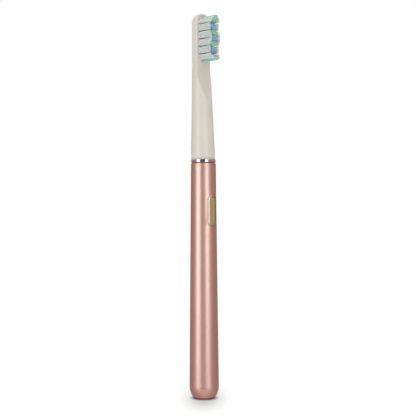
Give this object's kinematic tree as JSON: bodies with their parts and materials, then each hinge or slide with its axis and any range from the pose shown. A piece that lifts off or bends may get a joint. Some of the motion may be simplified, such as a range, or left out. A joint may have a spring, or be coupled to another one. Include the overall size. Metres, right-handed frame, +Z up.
{
  "type": "electric toothbrush",
  "caption": "Slim upright electric toothbrush: pull-off brush head on a tapered metal handle with a push button, inner motor and cell, and a pull-out end cap.",
  "frame": {"origin": "centre of the flat foot that the brush stands on", "axes": "+Z up along the handle towards the tip of the brush head, bristles and button face -Y, +X to the right when the button is faced"},
  "size_m": [0.0144, 0.0168, 0.19],
  "materials": {
    "satin_rose_metal": "satin rose-gold lacquer over drawn aluminium",
    "polished_rose_metal": "mirror-polished rose-gold plating",
    "gold_trim": "pale gold plating, bright bevel",
    "gold_pad": "flat brushed gold-brown face",
    "cream_plastic": "smooth moulded cream plastic",
    "white_plastic": "plain moulded white plastic",
    "dark_rubber": "matt black rubber",
    "brown_rubber": "dark brown soft gasket",
    "contact_metal": "plated spring steel",
    "cell_jacket": "plain printed film over steel, no wording",
    "cell_metal": "bare plated steel",
    "insulator_card": "thin fibre washer",
    "board_green": "solder-masked circuit board",
    "chip_black": "moulded black epoxy",
    "ferrite": "grey ferrite with a wound coil",
    "screw_steel": "zinc-plated steel",
    "switch_black": "moulded black nylon",
    "plunger_white": "moulded white nylon",
    "lead_red": "red wire insulation",
    "lead_black": "black wire insulation",
    "motor_steel": "bright drawn steel can",
    "motor_plastic": "ivory nylon end bell",
    "shaft_steel": "ground steel",
    "weight_metal": "sintered heavy metal",
    "white_filament": "white nylon filaments",
    "green_filament": "green nylon filaments",
    "blue_filament": "blue nylon filaments",
    "anchor_brass": "flat brass wire"
  },
  "bodies": {
    "handle": {"handle_sleeve": "satin_rose_metal", "cell_tube": "white_plastic", "positive_contact": "contact_metal", "negative_strip": "contact_metal", "board_tray": "white_plastic", "circuit_board": "board_green", "board_screws": "screw_steel", "control_chip": "chip_black", "capacitor": "cell_jacket", "inductor": "ferrite", "switch_body": "switch_black", "button_carrier": "white_plastic", "button_seal": "dark_rubber", "button_bezel": "gold_trim", "lead_red": "lead_red", "lead_black": "lead_black", "nose_housing": "white_plastic", "nose_seal": "dark_rubber", "collar_gasket": "brown_rubber", "collar_ring": "polished_rose_metal", "motor_boot": "dark_rubber", "motor_can": "motor_steel", "motor_cap": "motor_plastic"},
    "rotor": {"motor_shaft": "shaft_steel", "offset_weight": "weight_metal"},
    "button": {"button_pad": "gold_pad"},
    "plunger": {"switch_plunger": "plunger_white"},
    "cap": {"foot_ring": "polished_rose_metal", "end_cap": "satin_rose_metal", "cap_plug": "white_plastic", "cap_seal": "dark_rubber", "spring_plate": "contact_metal", "cell_spring": "contact_metal"},
    "cell": {"cell_body": "cell_jacket", "cell_base": "cell_metal", "cell_nub": "cell_metal", "cell_insulator": "insulator_card"},
    "head": {"head_shell": "cream_plastic", "neck_insert": "white_plastic", "white_tufts_left": "white_filament", "white_tufts_right": "white_filament", "green_tufts": "green_filament", "blue_tufts": "blue_filament", "tuft_anchors": "anchor_brass"}
  },
  "joints": [
    {"name": "head_pull", "type": "slide", "parent": "handle", "child": "head", "axis": [0, 0, 1], "range_m": [0, 0.034]},
    {"name": "motor_spin", "type": "hinge", "parent": "handle", "child": "rotor", "pos_m": [0, 0, 0.13], "axis": [0, 0, 1], "continuous": true},
    {"name": "button_press", "type": "slide", "parent": "handle", "child": "button", "axis": [0, 1, 0], "range_m": [0, 0.0003], "stiffness_N_per_m": 1500},
    {"name": "switch_press", "type": "slide", "parent": "handle", "child": "plunger", "axis": [0, 1, 0], "range_m": [0, 0.0003]},
    {"name": "cap_pull", "type": "slide", "parent": "handle", "child": "cap", "axis": [0, 0, -1], "range_m": [0, 0.064]},
    {"name": "cell_slide", "type": "slide", "parent": "handle", "child": "cell", "axis": [0, 0, -1], "range_m": [0, 0.0512]}
  ],
  "couplings": [
    {"joint": "switch_press", "follows": "button_press", "ratio": 1},
    {"joint": "cell_slide", "follows": "cap_pull", "ratio": 0.8}
  ]
}
